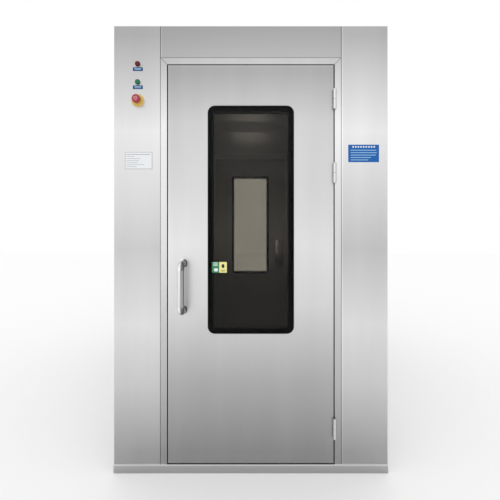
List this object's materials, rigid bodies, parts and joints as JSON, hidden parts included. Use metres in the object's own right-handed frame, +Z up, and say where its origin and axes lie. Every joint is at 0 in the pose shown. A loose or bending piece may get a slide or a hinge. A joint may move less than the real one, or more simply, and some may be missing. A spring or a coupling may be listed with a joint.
{
  "type": "air shower",
  "caption": "Walk-in clean room air shower cabin with a glazed swing door front and rear, side columns with fans, jet nozzles and filters, indicators and an emergency stop.",
  "frame": {"origin": "middle of the footprint at floor level", "axes": "+Z up, the front door faces -Y, +X to the right of someone who faces the front door"},
  "size_m": [1.3, 2.152, 2.142],
  "materials": {
    "panel_steel": "vertical hairline",
    "frame_steel": "hairline along each length",
    "lining_steel": "vertical hairline",
    "polished_steel": "polished",
    "galvanised_steel": "plain zinc coated",
    "motor_paint": "satin",
    "window_glass": "clear, slightly tinted",
    "black_border": "gloss black",
    "gasket_rubber": "matte",
    "filter_media": "pleated media",
    "diffuser": "frosted",
    "cream_paint": "satin",
    "panel_plastic": "satin",
    "magnet_housing": "satin anodised",
    "red_lens": "gloss",
    "green_lens": "gloss",
    "yellow_plastic": "satin",
    "red_plastic": "gloss",
    "gland_metal": "nickel plated"
  },
  "bodies": {
    "cabin": {"base_plinth": "panel_steel", "cable_gland": "gland_metal", "ceiling_light": "galvanised_steel", "ceiling_panel": "lining_steel", "control_panel": "panel_plastic", "controller_box": "cream_paint", "corner_posts": "galvanised_steel", "fan_decks": "galvanised_steel", "fan_housings": "galvanised_steel", "fan_motors": "motor_paint", "floor_tray": "lining_steel", "front_door_frame": "frame_steel", "front_door_gasket": "gasket_rubber", "front_header_fascia": "panel_steel", "front_hinge_frame_halves": "polished_steel", "front_left_fascia": "panel_steel", "front_right_fascia": "panel_steel", "green_lenses": "green_lens", "hepa_filters": "filter_media", "indicator_bezels": "polished_steel", "left_inner_wall": "lining_steel", "left_nozzles": "polished_steel", "light_diffuser": "diffuser", "lock_magnets": "magnet_housing", "prefilters": "filter_media", "rear_door_frame": "frame_steel", "rear_door_gasket": "gasket_rubber", "rear_header_fascia": "panel_steel", "rear_hinge_frame_halves": "polished_steel", "rear_left_fascia": "panel_steel", "rear_right_fascia": "panel_steel", "red_lenses": "red_lens", "return_grilles": "lining_steel", "right_inner_wall": "lining_steel", "right_nozzles": "polished_steel", "roof_panel": "panel_steel", "side_panels": "panel_steel", "stop_guard": "yellow_plastic"},
    "front_door": {"front_door_furniture": "polished_steel", "front_door_leaf": "panel_steel", "front_lock_armature": "galvanised_steel", "front_window_border": "black_border", "front_window_panes": "window_glass"},
    "rear_door": {"rear_door_furniture": "polished_steel", "rear_door_leaf": "panel_steel", "rear_lock_armature": "galvanised_steel", "rear_window_border": "black_border", "rear_window_panes": "window_glass"},
    "stop_plunger": {"stop_stem": "polished_steel"},
    "stop_button": {"stop_head": "red_plastic"},
    "left_fan": {"left_impeller": "galvanised_steel"},
    "right_fan": {"right_impeller": "galvanised_steel"}
  },
  "joints": [
    {"name": "front_door_swing", "type": "hinge", "parent": "cabin", "child": "front_door", "pos_m": [0.3955, -1.0105, 0], "axis": [0, 0, 1], "range_deg": [0, 110]},
    {"name": "rear_door_swing", "type": "hinge", "parent": "cabin", "child": "rear_door", "pos_m": [-0.3955, 1.0105, 0], "axis": [0, 0, 1], "range_deg": [0, 110]},
    {"name": "stop_push", "type": "slide", "parent": "cabin", "child": "stop_plunger", "axis": [0, 1, 0], "range_m": [0, 0.004], "stiffness_N_per_m": 900},
    {"name": "stop_twist", "type": "hinge", "parent": "stop_plunger", "child": "stop_button", "pos_m": [-0.537, -1, 1.766], "axis": [0, 1, 0], "range_deg": [0, 45], "stiffness_Nm_per_rad": 0.3},
    {"name": "left_fan_spin", "type": "hinge", "parent": "cabin", "child": "left_fan", "pos_m": [-0.536, 0, 0.335], "axis": [1, 0, 0], "continuous": true},
    {"name": "right_fan_spin", "type": "hinge", "parent": "cabin", "child": "right_fan", "pos_m": [0.536, 0, 0.335], "axis": [1, 0, 0], "continuous": true}
  ]
}
